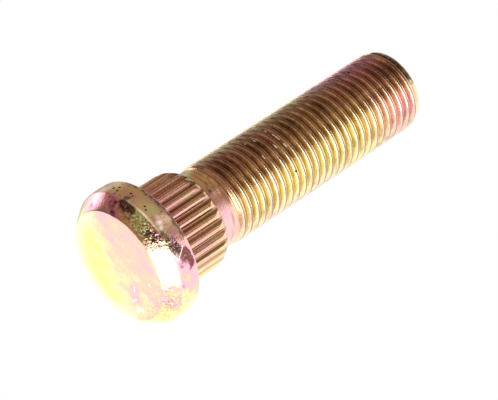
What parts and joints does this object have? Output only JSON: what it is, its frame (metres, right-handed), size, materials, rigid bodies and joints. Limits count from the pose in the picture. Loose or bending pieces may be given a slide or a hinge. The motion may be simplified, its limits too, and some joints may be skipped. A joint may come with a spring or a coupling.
{
  "type": "wheel stud",
  "caption": "Press-in wheel stud: bevelled round head, straight-tooth knurl, plain neck and a threaded shank with a rounded point, in yellow-plated steel.",
  "frame": {"origin": "centre of the flat end face of the head, on which the stud stands", "axes": "+Z along the stud's axis, from the head towards the thread's point"},
  "size_m": [0.023, 0.023, 0.0607],
  "materials": {
    "yellow_plated_steel": "zinc plated with a yellow chromate film, glossy, with a faint play of pink and green"
  },
  "bodies": {
    "root": {"wheel_stud": "yellow_plated_steel"}
  },
  "joints": []
}
